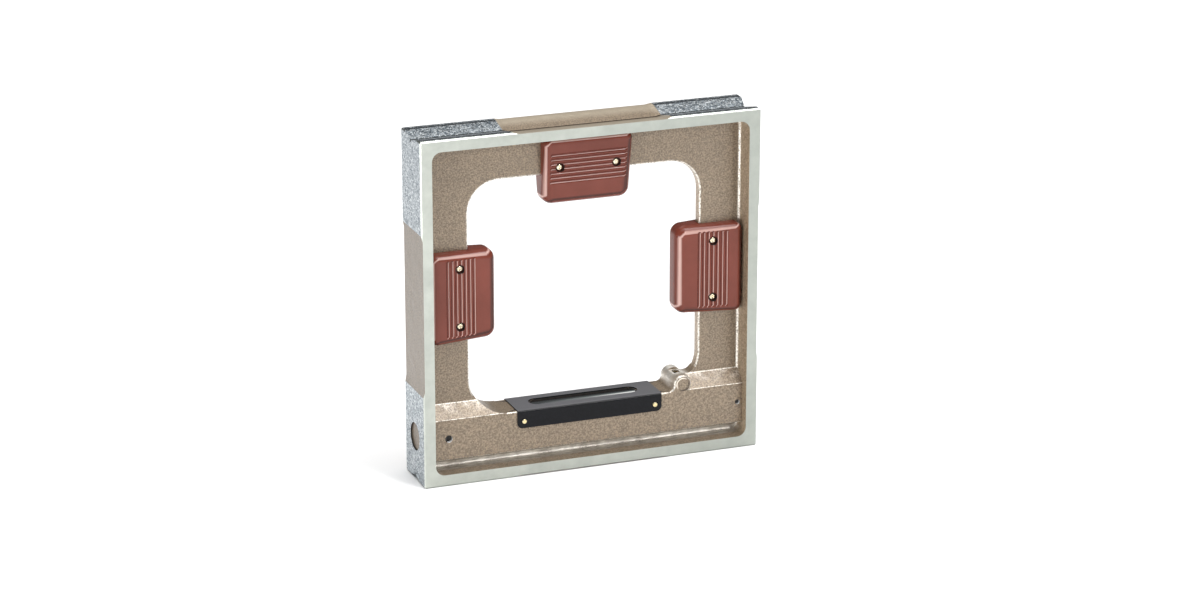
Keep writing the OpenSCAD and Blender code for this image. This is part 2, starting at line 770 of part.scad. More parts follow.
// Half of a grip, from the mid-plane of the frame outwards
module grip_half(web_edge) {
    near_x = grip_near + grip_near_r;
    fillet = root_r + loose;
    // the sloping face touches both roundings
    near_c = [near_x + grip_flat, grip_t_rim - grip_rim_r];
    arm = [grip_reach - grip_edge_r, grip_t_edge - grip_edge_r] - near_c;
    fall = asin((grip_rim_r - grip_edge_r) / norm(arm)) - atan2(arm.y, arm.x);
    face = near_c.y + grip_rim_r / cos(fall) - (rib_mid - near_c.x) * tan(fall);
    color([0.51, 0.29, 0.25]) difference() {
        hull() for (s = [-1, 1]) {
            grip_corner(near_x, s * (grip_l / 2 - grip_near_r), grip_near_r, grip_t_rim, grip_rim_r);
            grip_corner(grip_far, s * (grip_l / 2 - grip_corner_r), grip_corner_r, grip_t_edge, grip_edge_r);
        }
        // room for the web and for its fillet to the rim
        translate([0, -grip_l, -past]) cube([web_edge + loose, 2 * grip_l, web_y + past]);
        translate([0, -grip_l, -past]) cube([rim_t + fillet, 2 * grip_l, web_y + fillet + past]);
        // finger grooves, parallel to the sloping face
        translate([rib_mid, 0, face]) rotate([0, fall, 0])
            for (i = [0:rib_n - 1]) translate([(i - (rib_n - 1) / 2) * rib_pitch, 0, rib_r - rib_depth])
                rotate(90) capsule_x(2 * rib_r, rib_l);
        for (s = [-1, 1]) translate([screw_in, s * screw_pitch / 2, 0]) {
            translate([0, 0, screw_floor]) cylinder(d = screw_bore_d, h = grip_t_rim);
            cylinder(d = grip_screw_d + 2 * slip, h = grip_t_rim);
        }
    }
}

module grip_left_front() place_grip(0) grip_half(web_side);

module grip_left_rear() mirror([0, 1, 0]) grip_left_front();

module grip_right_front() place_grip(1) grip_half(web_side);

module grip_right_rear() mirror([0, 1, 0]) grip_right_front();

module grip_top_front() place_grip(2) grip_half(web_top);

module grip_top_rear() mirror([0, 1, 0]) grip_top_front();

// Two screws in each half of a grip, their heads in the counterbores
module grip_screws() {
    color([0.75, 0.72, 0.65]) both_sides() for (p = grip_places, s = [-1, 1])
        place_grip(p) translate([screw_in, s * screw_pitch / 2, screw_floor])
            pan_screw(grip_screw_d, grip_head_d, grip_head_h, screw_floor - slip);
}

frame();
bore_plug_left();
bore_plug_right();
vial_tube();
main_vial();
main_vial_liquid();
vial_bedding();
adjusting_end();
pivot_end();
adjusting_screw();
pivot_pin();
sight_glass();
vial_cover();
cover_screws();
cross_vial_tube();
cross_vial();
cross_vial_liquid();
cross_vial_bedding();
cross_cap_front();
cross_cap_rear();
grip_left_front();
grip_left_rear();
grip_right_front();
grip_right_rear();
grip_top_front();
grip_top_rear();
grip_screws();
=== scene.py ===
import bpy
import math
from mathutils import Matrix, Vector


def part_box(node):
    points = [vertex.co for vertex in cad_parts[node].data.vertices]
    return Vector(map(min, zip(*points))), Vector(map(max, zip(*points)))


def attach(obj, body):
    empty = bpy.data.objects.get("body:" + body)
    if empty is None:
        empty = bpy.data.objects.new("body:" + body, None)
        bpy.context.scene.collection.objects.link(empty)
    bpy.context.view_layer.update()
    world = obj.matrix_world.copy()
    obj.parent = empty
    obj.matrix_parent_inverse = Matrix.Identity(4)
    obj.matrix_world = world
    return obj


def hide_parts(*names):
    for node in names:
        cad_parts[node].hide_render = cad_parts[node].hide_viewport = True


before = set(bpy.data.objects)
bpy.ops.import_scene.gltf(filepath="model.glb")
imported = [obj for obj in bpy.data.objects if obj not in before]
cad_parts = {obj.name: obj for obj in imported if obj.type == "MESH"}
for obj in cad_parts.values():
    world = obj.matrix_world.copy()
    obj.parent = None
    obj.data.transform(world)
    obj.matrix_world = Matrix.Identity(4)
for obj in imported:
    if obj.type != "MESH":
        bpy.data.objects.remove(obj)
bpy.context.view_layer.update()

# ---- Frame casting ----
# One grey-iron casting: a square rim with a thin web and a deep beam for the vial. The web, the
# pockets and the middles of the outer faces are sprayed with hammered enamel. The rims are ground
# bright, and the pads at the ends of the outer faces are scraped by hand.
MM = 0.001
frame_low, frame_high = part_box("frame")
half_side = frame_high.x
half_depth = frame_high.y
frame_top = frame_high.z
middle_z = (frame_low.z + frame_high.z) / 2
rim = 10 * MM
web_face = 5 * MM
edge_width = 1.1 * MM
pad_length = 80 * MM
vee_depth = 4.5 * MM
vee_edge = 18.5 * MM
slot_top = 4.6 * MM
slot_floor = 6.1 * MM
slot_half = 1.2 * MM
beam_top = 55 * MM
bore_z = 38.5 * MM
bore_r = 12 * MM
access_holes = ((-125.6 * MM, 3.25 * MM), (135.3 * MM, 2.2 * MM))
well_half = 9 * MM
well_length = 60 * MM
well_low = 44 * MM
boss_x = 85 * MM
boss_z = 60.4 * MM
cap_r = 5.5 * MM


def linear(hex_colour):
    """The linear colour of an sRGB hex value."""
    values = [int(hex_colour[i:i + 2], 16) / 255 for i in (0, 2, 4)]
    return [v / 12.92 if v <= 0.04045 else ((v + 0.055) / 1.055) ** 2.4 for v in values] + [1.0]


def start_material(name):
    """A material with no nodes yet, and its node tree."""
    material = bpy.data.materials.new(name)
    material.use_nodes = True
    material.node_tree.nodes.clear()
    return material, material.node_tree


def add(tree, kind, inputs=None, stops=(), **settings):
    """Adds a node. An input, by name or number, takes a value, a socket or a node's first output.

    Stops are the places and hex colours of a Color Ramp.
    """
    made = tree.nodes.new("ShaderNode" + kind)
    for key, value in settings.items():
        setattr(made, key, value)
    for key, value in (inputs or {}).items():
        source = value.outputs[0] if isinstance(value, bpy.types.Node) else value
        if isinstance(source, bpy.types.NodeSocket):
            tree.links.new(source, made.inputs[key])
        else:
            made.inputs[key].default_value = source
    if stops:
        bar = made.color_ramp.elements
        while len(bar) < len(stops):
            bar.new(0.5)
        for stop, (place, colour) in zip(bar, stops):
            stop.position = place
            stop.color = linear(colour)
    return made


def smooth_copy(name, node, slot, *materials):
    """A merged, smooth-shaded copy of a CAD node that stands for it."""
    bpy.ops.object.select_all(action="DESELECT")
    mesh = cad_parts[node].data.copy()
    mesh.name = name
    mesh.materials.clear()
    piece = bpy.data.objects.new(name, mesh)
    bpy.context.scene.collection.objects.link(piece)
    bpy.context.view_layer.objects.active = piece
    piece.select_set(True)
    bpy.ops.object.mode_set(mode="EDIT")
    bpy.ops.mesh.select_all(action="SELECT")
    bpy.ops.mesh.remove_doubles(threshold=0.002 * MM)
    bpy.ops.mesh.customdata_custom_splitnormals_clear()
    bpy.ops.object.mode_set(mode="OBJECT")
    bpy.ops.object.shade_smooth_by_angle(angle=math.radians(32))
    weighted = piece.modifiers.new("even_shading", "WEIGHTED_NORMAL")
    weighted.keep_sharp = True
    bpy.ops.object.modifier_apply(modifier=weighted.name)
    for material in materials:
        mesh.materials.append(material)
    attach(piece, "root")
    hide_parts(node)
    return piece


# Hammered enamel: a paint with aluminium flake whose skin draws up into small dimples, so it has a
# satin metallic lustre and a fine light and dark grain. The real dimples are finer, and are drawn
# 1.3 mm apart to show. Here and below, a pattern's scale is written as marks to the millimetre.
enamel, tree = start_material("hammered_taupe_enamel")
place = add(tree, "TexCoord").outputs["Object"]
spot = add(tree, "SeparateXYZ", {"Vector": place})
normal = add(tree, "SeparateXYZ", {"Vector": add(tree, "TexCoord").outputs["Normal"]})
facing = add(tree, "Math", {0: normal.outputs["Y"]}, operation="ABSOLUTE")
hammer = add(tree, "TexNoise", {"Vector": place, "Scale": 0.76 / MM, "Detail": 3, "Roughness": 0.6})
waves = add(tree, "TexNoise", {"Vector": place, "Scale": 0.11 / MM, "Detail": 2, "Roughness": 0.5})
grain = add(tree, "ValToRGB", {"Fac": hammer}, stops=((0.36, "6a5c4c"), (0.64, "978670")))

# A painted highlight lies along the fillets, whose normals lie between the front and the sides, as an
# uneven bright line, which fades down the sloped shoulders.
fillet_highlight = add(tree, "ValToRGB", {"Fac": facing},
           stops=((0.24, "000000"), (0.5, "ffffff"), (0.85, "ffffff"), (0.97, "000000")))
crest = add(tree, "MapRange", {"Value": spot.outputs["Z"], "From Min": beam_top + 3 * MM,
                               "From Max": beam_top + 10 * MM, "To Min": 0.03, "To Max": 0.4})
sheen = add(tree, "MapRange", {"Value": waves, "From Min": 0.42, "From Max": 0.66})
crest = add(tree, "Math", {0: crest, 1: sheen}, operation="MULTIPLY")
slope = add(tree, "Math", {0: facing, 1: normal.outputs["Z"]}, operation="ADD")
shoulder = add(tree, "MapRange", {"Value": slope, "From Min": 1.41, "From Max": 1.4135, "To Min": 1.0,
                                  "To Max": crest})
fillet_highlight = add(tree, "Math", {0: fillet_highlight, 1: shoulder}, operation="MULTIPLY")
highlight_breaks = add(tree, "ValToRGB", {"Fac": hammer}, stops=((0.36, "6a6a6a"), (0.56, "ffffff")))
fillet_highlight = add(tree, "Math", {0: fillet_highlight, 1: highlight_breaks}, operation="MULTIPLY")

# The same painted highlight lies along the back of the groove under the beam
patchy = add(tree, "MapRange", {"Value": waves, "From Min": 0.3, "From Max": 0.6, "To Min": 0.45})
depth = add(tree, "Math", {0: spot.outputs["Y"]}, operation="ABSOLUTE")
depth = add(tree, "MapRange", {"Value": depth, "From Min": web_face + 9 * MM,
                               "From Max": web_face + 3 * MM})
height = add(tree, "MapRange", {"Value": spot.outputs["Z"], "From Min": rim + 5.5 * MM,
                                "From Max": rim + 4 * MM})
groove = add(tree, "Math", {0: depth, 1: height}, operation="MULTIPLY")
groove = add(tree, "Math", {0: groove, 1: patchy}, operation="MULTIPLY")
painted_highlight = add(tree, "Math", {0: groove, 1: fillet_highlight}, operation="MAXIMUM")

# And a painted highlight lies over the round top of the boss, most of all behind its flat
across = add(tree, "Math", {0: spot.outputs["X"], 1: boss_x - 10 * MM}, operation="SUBTRACT")
across = add(tree, "Math", {0: across}, operation="ABSOLUTE")
across = add(tree, "MapRange", {"Value": across, "From Min": 20 * MM, "From Max": 14 * MM})
above = add(tree, "Math", {0: spot.outputs["Z"], 1: beam_top + 11 * MM}, operation="SUBTRACT")
above = add(tree, "Math", {0: above}, operation="ABSOLUTE")
above = add(tree, "MapRange", {"Value": above, "From Min": 10 * MM, "From Max": 6 * MM})
behind = add(tree, "MapRange", {"Value": spot.outputs["Y"], "From Min": -12 * MM, "From Max": -5 * MM,
                                "To Min": 0.25})
boss = add(tree, "MapRange", {"Value": facing, "From Min": 0.7, "From Max": 0.4})
for part in (across, above, behind, patchy):
    boss = add(tree, "Math", {0: boss, 1: part}, operation="MULTIPLY")
painted_highlight = add(tree, "Math", {0: painted_highlight, 1: boss}, operation="MAXIMUM")

# Round the cap in the boss, where paint bridges the seam, a ring takes a painted highlight above at
# the left and painted shade below at the right
from_axis = add(tree, "VectorMath", {0: place, 1: (boss_x, 0.0, boss_z)}, operation="SUBTRACT")
from_axis = add(tree, "VectorMath", {0: from_axis, 1: (1.0, 0.0, 1.0)}, operation="MULTIPLY")
reach = add(tree, "VectorMath", {0: from_axis}, operation="LENGTH").outputs["Value"]
reach = add(tree, "MapRange", {"Value": reach, "From Max": 10 * MM})
seam_place = cap_r / (10 * MM)
seam = add(tree, "ValToRGB", {"Fac": reach},
           stops=((seam_place - 0.08, "000000"), (seam_place - 0.03, "ffffff"),
                  (seam_place + 0.03, "ffffff"), (seam_place + 0.08, "000000")))
face_on = add(tree, "MapRange", {"Value": facing, "From Min": 0.97, "From Max": 0.99})
seam = add(tree, "Math", {0: seam, 1: face_on}, operation="MULTIPLY")
seam_light_and_shade = add(tree, "VectorMath", {0: from_axis, 1: (-0.7, 0.0, 0.7)}, operation="DOT_PRODUCT")
seam_light_and_shade = add(tree, "MapRange", {"Value": seam_light_and_shade.outputs["Value"], "From Min": -4 * MM,
                                "From Max": 4 * MM})
seam_light_and_shade = add(tree, "ValToRGB", {"Fac": seam_light_and_shade},
             stops=((0.1, "3f3227"), (0.5, "84735d"), (0.9, "efe6d8")))
grain = add(tree, "Mix", {"Factor": seam, 6: grain, 7: seam_light_and_shade}, data_type="RGBA").outputs[2]

# Faces turned to the left get painted shade on the outer left face and painted light inside the right
# rim, and painted light makes the top of the frame paler
leftward = add(tree, "MapRange", {"Value": normal.outputs["X"], "From Min": -0.6, "From Max": -0.9})
side_light_and_shade = add(tree, "MapRange", {"Value": spot.outputs["X"], "From Min": -half_side,
                              "From Max": half_side - rim, "To Min": 0.75, "To Max": 1.9})
grain = add(tree, "HueSaturation", {"Fac": leftward, "Value": side_light_and_shade, "Color": grain})
top_painted_light = add(tree, "MapRange", {"Value": spot.outputs["Z"], "From Min": frame_top - 4 * MM,
                                  "From Max": frame_top - 2 * MM, "To Max": 0.75})
grain = add(tree, "Mix", {"Factor": top_painted_light, 6: grain, 7: linear("ada18e")},
            data_type="RGBA").outputs[2]

# The painted highlight is pale cream, and there the flake's lustre is strongest, but not on level floors
colour = add(tree, "Mix", {"Factor": painted_highlight, 6: grain, 7: linear("f3eee4")}, data_type="RGBA").outputs[2]
steep = add(tree, "MapRange", {"Value": normal.outputs["Z"], "From Min": 0.97, "From Max": 0.8})
lustre = add(tree, "Math", {0: painted_highlight, 1: steep}, operation="MULTIPLY")
lustre = add(tree, "MapRange", {"Value": lustre, "To Min": 0.3, "To Max": 0.85})
skin = add(tree, "Bump", {"Height": waves, "Strength": 1.0, "Distance": 0.7 * MM})
dimples = add(tree, "Bump", {"Height": hammer, "Strength": 1.0, "Distance": 0.3 * MM, "Normal": skin})
paint = add(tree, "BsdfPrincipled", {"Base Color": colour, "Metallic": lustre, "Roughness": 0.42,
                                     "Coat Weight": 0.5, "Coat Roughness": 0.12, "Normal": dimples,
                                     "Coat Normal": dimples})
add(tree, "OutputMaterial", {"Surface": paint})

# Ground grey iron: fine parallel grinding marks blur the reflections to an even satin grey, and a
# painted shade darkens it towards the right
ground, tree = start_material("ground_grey_iron")
place = add(tree, "TexCoord").outputs["Object"]
clouds = add(tree, "TexNoise", {"Vector": place, "Scale": 0.06 / MM, "Detail": 4, "Roughness": 0.6})
marks = add(tree, "TexNoise", {"Vector": place, "Scale": 1.5 / MM, "Detail": 2})
sheen = add(tree, "ValToRGB", {"Fac": clouds}, stops=((0.3, "acb0a9"), (0.7, "bfc3bb")))
across = add(tree, "SeparateXYZ", {"Vector": place})
# Painted shade: the grey is mixed darker towards the right
shade_paint = add(tree, "MapRange", {"Value": across, "From Min": -half_side, "From Max": half_side,
                              "To Max": 0.32})
sheen = add(tree, "Mix", {"Factor": shade_paint, 6: sheen, 7: linear("787d78")}, data_type="RGBA").outputs[2]
wear = add(tree, "MapRange", {"Value": clouds, "To Min": 0.3, "To Max": 0.42})
scratch = add(tree, "Bump", {"Height": marks, "Strength": 0.12, "Distance": 0.05 * MM})
iron = add(tree, "BsdfPrincipled", {"Base Color": sheen, "Metallic": 1.0, "Roughness": wear,
                                    "Normal": scratch})
add(tree, "OutputMaterial", {"Surface": iron})

# Scraped grey iron: thousands of small overlapping scraper flakes, each at its own slant and each
# painted a random tone from dark to light as a painted glint. They are drawn 1.2 mm wide. Faces turned
# to the left are a little darker, and on the other faces painted shade lines the edges of the vee.
scraped, tree = start_material("scraped_grey_iron")
place = add(tree, "TexCoord").outputs["Object"]
drift = add(tree, "TexNoise", {"Vector": place, "Scale": 0.3 / MM, "Detail": 2})
bent = add(tree, "Mix", {"Factor": 0.004, 4: place, 5: drift.outputs["Color"]}, data_type="VECTOR")
cells = add(tree, "TexVoronoi", {"Vector": bent.outputs[1], "Scale": 0.82 / MM})
tone = add(tree, "SeparateColor", {"Color": cells.outputs["Color"]})
flash = add(tree, "ValToRGB", {"Fac": tone.outputs["Red"]},
            stops=((0.15, "757f87"), (0.55, "b0b8be"), (0.9, "eef3f5")))
leftward = add(tree, "SeparateXYZ", {"Vector": add(tree, "TexCoord").outputs["Normal"]})
dark_layer = add(tree, "MapRange", {"Value": leftward, "From Min": -0.6, "From Max": -0.9, "To Max": 0.3})
flash = add(tree, "Mix", {"Factor": dark_layer, 6: flash, 7: linear("7f868b")}, data_type="RGBA").outputs[2]
reach = add(tree, "SeparateXYZ", {"Vector": place}).outputs["Y"]
reach = add(tree, "Math", {0: reach}, operation="ABSOLUTE")
reach = add(tree, "MapRange", {"Value": reach, "From Max": half_depth})
edge_place = vee_edge / half_depth
# Painted shade along the edges of the vee, on the faces not turned to the left
vee_edge_shade = add(tree, "ValToRGB", {"Fac": reach},
          stops=((edge_place - 0.08, "000000"), (edge_place - 0.03, "ffffff"),
                 (edge_place + 0.05, "ffffff"), (edge_place + 0.1, "000000")))
vee_side = add(tree, "MapRange", {"Value": leftward, "From Min": -0.9, "From Max": -0.6, "To Max": 0.85})
vee_edge_shade = add(tree, "Math", {0: vee_edge_shade, 1: vee_side}, operation="MULTIPLY")
flash = add(tree, "Mix", {"Factor": vee_edge_shade, 6: flash, 7: linear("33373d")}, data_type="RGBA").outputs[2]
slant = add(tree, "Bump", {"Height": tone.outputs["Green"], "Strength": 0.28, "Distance": 0.12 * MM})
burnish = add(tree, "MapRange", {"Value": tone.outputs["Blue"], "To Min": 0.25, "To Max": 0.5})
flakes = add(tree, "BsdfPrincipled", {"Base Color": flash, "Metallic": 1.0, "Roughness": burnish,
                                      "Normal": slant})
add(tree, "OutputMaterial", {"Surface": flakes})

# The wall of the two access holes, bare of paint, painted white as a painted highlight where it is lit
hole_highlight, tree = start_material("hole_painted_highlight")
place = add(tree, "TexCoord").outputs["Object"]
rings = add(tree, "TexNoise", {"Vector": place, "Scale": 0.9 / MM, "Detail": 2})
tint = add(tree, "ValToRGB", {"Fac": rings}, stops=((0.3, "f2f2ee"), (0.7, "ffffff")))
highlight_surface = add(tree, "BsdfPrincipled", {"Base Color": tint, "Roughness": 0.4})
add(tree, "OutputMaterial", {"Surface": highlight_surface})

# Painted shade: unfinished iron in the slots, bores, sight glass well and access holes, painted near
# black
shade_iron, tree = start_material("painted_shade_iron")
place = add(tree, "TexCoord").outputs["Object"]
dark_layer = add(tree, "TexNoise", {"Vector": place, "Scale": 0.4 / MM, "Detail": 2})
tint = add(tree, "ValToRGB", {"Fac": dark_layer}, stops=((0.3, "1d1a18"), (0.7, "332e2a")))
dark = add(tree, "BsdfPrincipled", {"Base Color": tint, "Roughness": 0.6})
add(tree, "OutputMaterial", {"Surface": dark})

# Each face takes the finish of its place: ground rims, painted shade in the bore, the well under the
# sight glass and the relief slots, painted highlight and shade in the access holes, then the pads and
# the sharp corners. The rest is enamelled.
finishes = (enamel, ground, scraped, shade_iron, hole_highlight)
casting = smooth_copy("frame_casting", "frame", "painted_cast_iron", *finishes)
for face in casting.data.polygons:
    x, y, z = face.center
    along, spread = sorted((abs(x), abs(z - middle_z)))
    inward = half_side - spread
    outward = max(abs(face.normal.x), abs(face.normal.z))
    on_pad = along > half_side - pad_length or spread - along < edge_width
    in_access_hole = any(abs(math.hypot(x - hole_x, z - bore_z) - hole_r) < 0.2 * MM
                         for hole_x, hole_r in access_holes)
    finish = enamel
    if half_depth - abs(y) < edge_width and inward > edge_width and abs(face.normal.y) > 0.9:
        finish = ground
    elif abs(math.hypot(y, z - bore_z) - bore_r) < 0.3 * MM and abs(face.normal.x) < 0.1:
        finish = shade_iron
    elif in_access_hole and abs(face.normal.y) < 0.3:
        # In the access holes, walls that face up and to the left take the painted highlight, the rest
        # painted shade
        finish = hole_highlight if face.normal.z - face.normal.x > 0.6 else shade_iron
    elif abs(y) < well_half and abs(x) < well_length and well_low < z < beam_top + 0.1 * MM:
        finish = shade_iron
    elif slot_top < inward < slot_floor and abs(y) < slot_half and along < half_side:
        finish = shade_iron
    elif inward < vee_depth and on_pad and (inward < edge_width or outward > 0.6):
        finish = scraped if outward > 0.85 else ground
    face.material_index = finishes.index(finish)

# ---- Bore plugs ----
# Round iron plugs pressed into both ends of the long bore, below the measuring faces and painted
# with the casting.
smooth_copy("plug_left", "bore_plug_left", "painted_cast_iron", enamel)
smooth_copy("plug_right", "bore_plug_right", "painted_cast_iron", enamel)

# ---- Main vial and its adjustment ----
# A ground glass vial bedded with plaster in a brass tube. One end of the tube hinges on a steel pin,
# and the other is lifted by an eccentric steel screw.

# Turned brass, a warm yellow with cloudy tarnish
brass, tree = start_material("turned_brass")
place = add(tree, "TexCoord").outputs["Object"]
tarnish = add(tree, "TexNoise", {"Vector": place, "Scale": 0.12 / MM, "Detail": 4})
tint = add(tree, "ValToRGB", {"Fac": tarnish}, stops=((0.3, "b08a4a"), (0.7, "d6b46c")))
turned = add(tree, "BsdfPrincipled", {"Base Color": tint, "Metallic": 1.0, "Roughness": 0.3})
add(tree, "OutputMaterial", {"Surface": turned})

# Steel under a black oxide skin, painted near black to stand also for the shade deep in its hole
steel, tree = start_material("blackened_steel_and_hole_shade")
place = add(tree, "TexCoord").outputs["Object"]
patina = add(tree, "TexNoise", {"Vector": place, "Scale": 0.4 / MM, "Detail": 3})
tint = add(tree, "ValToRGB", {"Fac": patina}, stops=((0.3, "151414"), (0.7, "272524")))
oxide = add(tree, "BsdfPrincipled", {"Base Color": tint, "Metallic": 0.0, "Roughness": 0.4})
add(tree, "OutputMaterial", {"Surface": oxide})

# Vial glass, clear with a trace of green
glass, tree = start_material("ground_vial_glass")
clear = add(tree, "BsdfPrincipled", {"Base Color": linear("f2fbf8"), "Roughness": 0.02, "IOR": 1.5,
                                     "Transmission Weight": 1.0})
add(tree, "OutputMaterial", {"Surface": clear})

# Vial spirit, dyed a faint yellow green
spirit, tree = start_material("vial_spirit")
clear = add(tree, "BsdfPrincipled", {"Base Color": linear("e6f5c4"), "Roughness": 0.0, "IOR": 1.36,
                                     "Transmission Weight": 1.0})
add(tree, "OutputMaterial", {"Surface": clear})

# Set plaster, a dry chalky white
plaster, tree = start_material("set_plaster")
place = add(tree, "TexCoord").outputs["Object"]
chalk = add(tree, "TexNoise", {"Vector": place, "Scale": 0.9 / MM, "Detail": 4})
tint = add(tree, "ValToRGB", {"Fac": chalk}, stops=((0.3, "d8d5cc"), (0.7, "efede6")))
dry = add(tree, "BsdfPrincipled", {"Base Color": tint, "Roughness": 0.9})
add(tree, "OutputMaterial", {"Surface": dry})

smooth_copy("vial_carrier_tube", "vial_tube", "brass", brass)
smooth_copy("main_vial_glass", "main_vial", "vial_glass", glass)
smooth_copy("main_vial_spirit", "main_vial_liquid", "vial_liquid", spirit)
smooth_copy("main_vial_plaster", "vial_bedding", "plaster", plaster)
smooth_copy("adjusting_end_piece", "adjusting_end", "brass", brass)
smooth_copy("pivot_end_piece", "pivot_end", "brass", brass)
smooth_copy("eccentric_screw", "adjusting_screw", "steel", steel)
smooth_copy("hinge_pin", "pivot_pin", "steel", steel)

# ---- Sight glass ----
# A strip of clear glass with a convex top, bedded in the beam over the vial. Its colour is painted dark
# as the shade of the bore, with a painted reflection that grows pale towards its front right end.
reflection_end = 50 * MM
reflection_back = 0.5 * MM
reflection_front = 3 * MM
pane, tree = start_material("polished_sight_glass")
place = add(tree, "SeparateXYZ", {"Vector": add(tree, "TexCoord").outputs["Object"]})
along = add(tree, "MapRange", {"Value": place.outputs["X"], "From Min": -reflection_end,
                               "From Max": reflection_end})
front = add(tree, "MapRange", {"Value": place.outputs["Y"], "From Min": -reflection_back,
                               "From Max": -reflection_front})
painted_reflection = add(tree, "Math", {0: along, 1: front}, operation="MULTIPLY")
tint = add(tree, "ValToRGB", {"Fac": painted_reflection}, stops=((0.0, "2b2e30"), (0.5, "7d8382"), (0.9, "f2f4f0")))
clear = add(tree, "BsdfPrincipled", {"Base Color": tint, "Roughness": 0.08, "IOR": 1.6,
                                     "Transmission Weight": 0.2})
add(tree, "OutputMaterial", {"Surface": clear})
smooth_copy("sight_glass_strip", "sight_glass", "sight_glass", pane)

# ---- Vial cover ----
# One aluminium sheet folded over the beam and anodised black, with a window over the sight glass.
# Four small brass screws hold its flaps.

# Black anodised aluminium: a satin black, painted greyer where it lies level as a painted reflection
anodised, tree = start_material("black_anodised_aluminium")
place = add(tree, "TexCoord").outputs["Object"]
bloom = add(tree, "TexNoise", {"Vector": place, "Scale": 0.5 / MM, "Detail": 3})
tint = add(tree, "ValToRGB", {"Fac": bloom}, stops=((0.3, "090a0d"), (0.7, "101116")))
level = add(tree, "SeparateXYZ", {"Vector": add(tree, "TexCoord").outputs["Normal"]})
painted_tone = add(tree, "MapRange", {"Value": level.outputs["Z"], "From Min": 0.7, "From Max": 0.95})
tint = add(tree, "Mix", {"Factor": painted_tone, 6: tint, 7: linear("5e5e61")}, data_type="RGBA").outputs[2]
satin = add(tree, "BsdfPrincipled", {"Base Color": tint, "Metallic": 0.0, "Roughness": 0.28,
                                     "IOR": 1.27})
add(tree, "OutputMaterial", {"Surface": satin})
smooth_copy("folded_cover", "vial_cover", "black_sheet", anodised)

# Lacquered brass, pale and bright
bright_brass, tree = start_material("lacquered_brass_screws")
place = add(tree, "TexCoord").outputs["Object"]
lacquer = add(tree, "TexNoise", {"Vector": place, "Scale": 0.7 / MM, "Detail": 2})
tint = add(tree, "ValToRGB", {"Fac": lacquer}, stops=((0.3, "d8c693"), (0.7, "efe3bd")))
bright = add(tree, "BsdfPrincipled", {"Base Color": tint, "Metallic": 1.0, "Roughness": 0.28})
add(tree, "OutputMaterial", {"Surface": bright})
smooth_copy("cover_screw_set", "cover_screws", "brass_screws", bright_brass)

# ---- Cross vial ----
# A short vial lying from front to back in the boss, bedded with plaster in its own brass tube. Two
# round iron caps, painted with the casting, are pressed into the ends of its bore.
smooth_copy("cross_carrier_tube", "cross_vial_tube", "brass", brass)
smooth_copy("cross_vial_glass", "cross_vial", "vial_glass", glass)
smooth_copy("cross_vial_spirit", "cross_vial_liquid", "vial_liquid", spirit)
smooth_copy("cross_vial_plaster", "cross_vial_bedding", "plaster", plaster)
smooth_copy("cross_cap_near", "cross_cap_front", "painted_cast_iron", enamel)
smooth_copy("cross_cap_far", "cross_cap_rear", "painted_cast_iron", enamel)

# ---- Grips ----
# Three pairs of half shells pressed from red-brown phenolic, which keep the warmth of the hand off
# the iron. Each half is held by two nickel-plated screws.
screw_r = 4.1 * MM
side_screw_x = 113 * MM
side_screw_z = (134.7 * MM, 184.7 * MM)
top_screw_x = 25 * MM
top_screw_z = 263 * MM

# Moulded phenolic: a glossy red brown, clouded where the resin flowed. Ribs and edges that face up and
# to the left take a pale painted highlight, and painted shade darkens flanks facing down and right.
phenolic, tree = start_material("moulded_phenolic")
place = add(tree, "TexCoord").outputs["Object"]
flow = add(tree, "TexNoise", {"Vector": place, "Scale": 0.035 / MM, "Detail": 4, "Roughness": 0.6})
filler = add(tree, "TexNoise", {"Vector": place, "Scale": 1.1 / MM, "Detail": 2})
tint = add(tree, "ValToRGB", {"Fac": flow}, stops=((0.3, "6b3327"), (0.7, "783b2f")))
normal = add(tree, "TexCoord").outputs["Normal"]
# Painted highlight on the ribs and edges that face up and to the left
tilt = add(tree, "VectorMath", {0: normal, 1: (-0.6, 0.0, 0.8)}, operation="DOT_PRODUCT")
tilt = tilt.outputs["Value"]
rise = add(tree, "MapRange", {"Value": tilt, "From Min": 0.2, "From Max": 0.33})
fall = add(tree, "MapRange", {"Value": tilt, "From Min": 0.52, "From Max": 0.38})
grip_highlight = add(tree, "Math", {0: rise, 1: fall}, operation="MULTIPLY")
tint = add(tree, "Mix", {"Factor": grip_highlight, 6: tint, 7: linear("cfaaa1")}, data_type="RGBA").outputs[2]
# Painted shade on the flanks that face down and to the right
flank = add(tree, "MapRange", {"Value": tilt, "From Min": -0.08, "From Max": -0.8})
grip_shade = add(tree, "ValToRGB", {"Fac": flank},
            stops=((0.0, "000000"), (0.3, "ffffff"), (0.45, "ffffff"), (0.6, "404040")))
tint = add(tree, "Mix", {"Factor": grip_shade, 6: tint, 7: linear("43190f")}, data_type="RGBA").outputs[2]
polish = add(tree, "MapRange", {"Value": flow, "To Min": 0.2, "To Max": 0.3})
skin = add(tree, "Bump", {"Height": filler, "Strength": 0.08, "Distance": 0.05 * MM})
moulded = add(tree, "BsdfPrincipled", {"Base Color": tint, "Roughness": polish, "IOR": 1.38,
                                       "Normal": skin})
add(tree, "OutputMaterial", {"Surface": moulded})

# Painted shade in the counterbores of the screws: a near black phenolic where they lie in shadow
counterbore_shade, tree = start_material("counterbore_painted_shade")
place = add(tree, "TexCoord").outputs["Object"]
painted_tone = add(tree, "TexNoise", {"Vector": place, "Scale": 0.8 / MM, "Detail": 2})
tint = add(tree, "ValToRGB", {"Fac": painted_tone}, stops=((0.3, "1a0c09"), (0.7, "2a1610")))
shade_paint = add(tree, "BsdfPrincipled", {"Base Color": tint, "Roughness": 0.7})
add(tree, "OutputMaterial", {"Surface": shade_paint})

